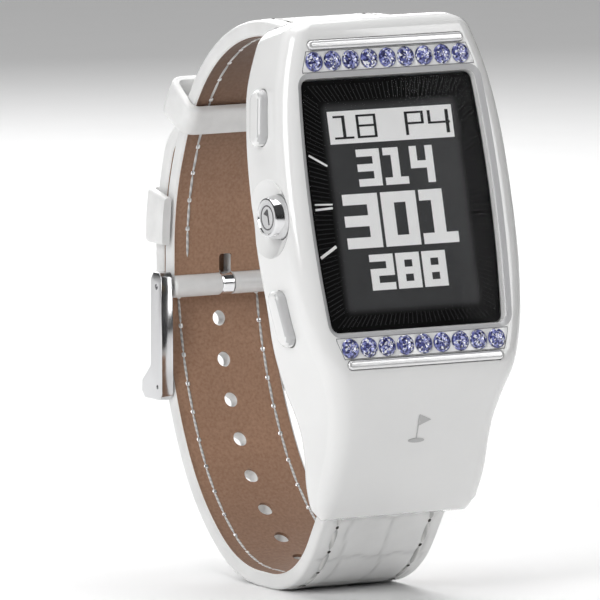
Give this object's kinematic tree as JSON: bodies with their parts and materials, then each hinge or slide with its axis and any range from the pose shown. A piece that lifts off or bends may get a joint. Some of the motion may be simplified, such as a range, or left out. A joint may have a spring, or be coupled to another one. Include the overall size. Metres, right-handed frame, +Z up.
{
  "type": "golf gps watch",
  "caption": "Barrel-shaped white GPS sports watch with an upright display, two rows of set stones, side push buttons and a buckled leather strap",
  "frame": {"origin": "middle of the short flat stretch under the closed strap, on which the watch is shown standing", "axes": "+Z up along the standing watch, the dial faces -Y and leans back 14.5 degrees, +X is the 3 o'clock side and the buttons are on the -X side"},
  "size_m": [0.0373, 0.0623, 0.0804],
  "materials": {
    "white_case": "glossy white",
    "dark_cover": "satin dark grey",
    "seal_rubber": "matt",
    "chrome_steel": "polished",
    "plain_steel": "satin",
    "gold_contact": "plated",
    "lens_glass": "clear",
    "dial_black": "black",
    "silver_tray": "polished",
    "violet_crystal": "faceted",
    "board": "solder mask",
    "foil": "satin foil",
    "white_leather": "embossed, satin",
    "tan_lining": "matt, fine grain"
  },
  "bodies": {
    "watch": {"case_body": "white_case", "backlight": "white_case", "back_cover": "dark_cover", "back_gasket": "seal_rubber", "lens_gasket": "seal_rubber", "upper_trim_bar": "chrome_steel", "lower_trim_bar": "chrome_steel", "case_screw_1": "plain_steel", "case_screw_2": "plain_steel", "case_screw_3": "plain_steel", "case_screw_4": "plain_steel", "buckle_bar": "plain_steel", "upper_lug_bar": "plain_steel", "lower_lug_bar": "plain_steel", "charge_contact_1": "gold_contact", "charge_contact_2": "gold_contact", "charge_contact_3": "gold_contact", "charge_contact_4": "gold_contact", "gps_antenna": "gold_contact", "lens": "lens_glass", "dial_mask": "dial_black", "lcd_panel": "dial_black", "upper_key_switch": "dial_black", "middle_key_switch": "dial_black", "lower_key_switch": "dial_black", "upper_stone_tray": "silver_tray", "lower_stone_tray": "silver_tray", "upper_stone_1": "violet_crystal", "upper_stone_2": "violet_crystal", "upper_stone_3": "violet_crystal", "upper_stone_4": "violet_crystal", "upper_stone_5": "violet_crystal", "upper_stone_6": "violet_crystal", "upper_stone_7": "violet_crystal", "upper_stone_8": "violet_crystal", "upper_stone_9": "violet_crystal", "lower_stone_1": "violet_crystal", "lower_stone_2": "violet_crystal", "lower_stone_3": "violet_crystal", "lower_stone_4": "violet_crystal", "lower_stone_5": "violet_crystal", "lower_stone_6": "violet_crystal", "lower_stone_7": "violet_crystal", "lower_stone_8": "violet_crystal", "lower_stone_9": "violet_crystal", "main_board": "board", "battery": "foil", "gps_module": "foil", "strap_short_outer": "white_leather", "strap_long_outer": "white_leather", "fixed_keeper": "white_leather", "strap_short_lining": "tan_lining", "strap_long_lining": "tan_lining"},
    "upper_button": {"upper_button": "white_case"},
    "crown_button": {"crown_button": "chrome_steel"},
    "lower_button": {"lower_button": "white_case"},
    "buckle_frame": {"buckle_frame": "chrome_steel"},
    "buckle_tongue": {"buckle_tongue": "chrome_steel"},
    "free_keeper": {"free_keeper": "white_leather"}
  },
  "joints": [
    {"name": "upper_button_press", "type": "slide", "parent": "watch", "child": "upper_button", "axis": [1, 0, 0], "range_m": [0, 0.0006], "stiffness_N_per_m": 1200, "springref_m": -0.0002},
    {"name": "crown_button_press", "type": "slide", "parent": "watch", "child": "crown_button", "axis": [1, 0, 0], "range_m": [0, 0.0006], "stiffness_N_per_m": 1200, "springref_m": -0.0002},
    {"name": "lower_button_press", "type": "slide", "parent": "watch", "child": "lower_button", "axis": [1, 0, 0], "range_m": [0, 0.0006], "stiffness_N_per_m": 1200, "springref_m": -0.0002},
    {"name": "buckle_frame_turn", "type": "hinge", "parent": "watch", "child": "buckle_frame", "pos_m": [0, 0.02752, 0.03899], "axis": [1, 0, 0], "range_deg": [-2, 0.5]},
    {"name": "buckle_tongue_lift", "type": "hinge", "parent": "watch", "child": "buckle_tongue", "pos_m": [0, 0.02752, 0.03899], "axis": [1, 0, 0], "range_deg": [0, 3]},
    {"name": "free_keeper_slide", "type": "hinge", "parent": "watch", "child": "free_keeper", "pos_m": [0, -0.00853, 0.04439], "axis": [1, 0, 0], "range_deg": [-15.5, 3]}
  ]
}
